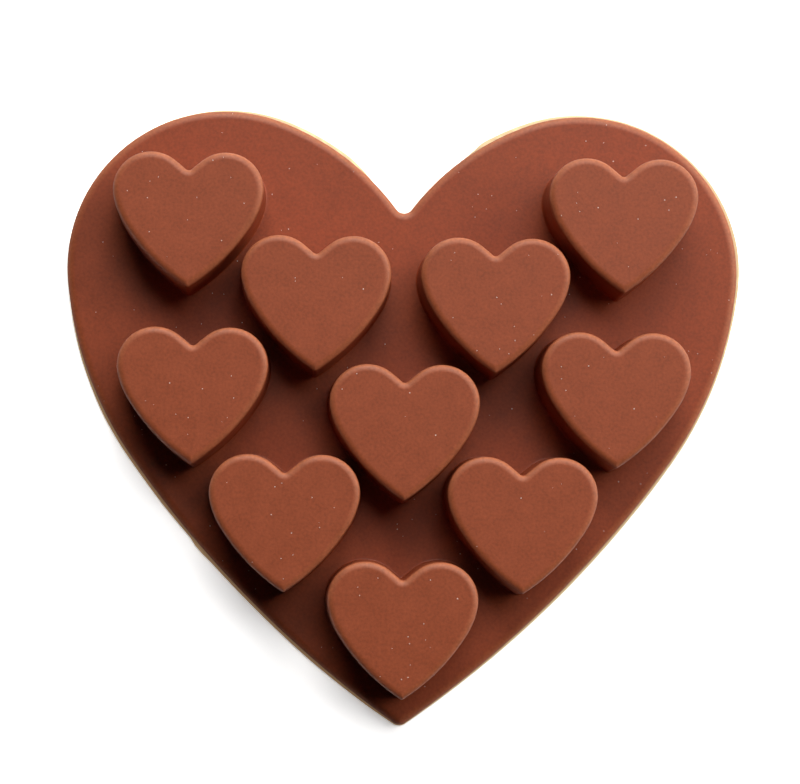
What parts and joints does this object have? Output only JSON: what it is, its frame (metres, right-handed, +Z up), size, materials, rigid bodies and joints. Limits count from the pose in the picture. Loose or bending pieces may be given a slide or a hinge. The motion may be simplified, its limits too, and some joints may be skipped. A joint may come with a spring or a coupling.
{
  "type": "chocolate mould",
  "caption": "Heart-shaped brown silicone chocolate mould with heart cups, lying with its cup floors up.",
  "frame": {"origin": "centre of the box at the open face that it rests on", "axes": "+Z up through the cup floors, -Y towards the tip of the heart, X across the lobes"},
  "size_m": [0.1518, 0.138, 0.0167],
  "materials": {
    "silicone": "matte"
  },
  "bodies": {
    "root": {"mould": "silicone"}
  },
  "joints": []
}
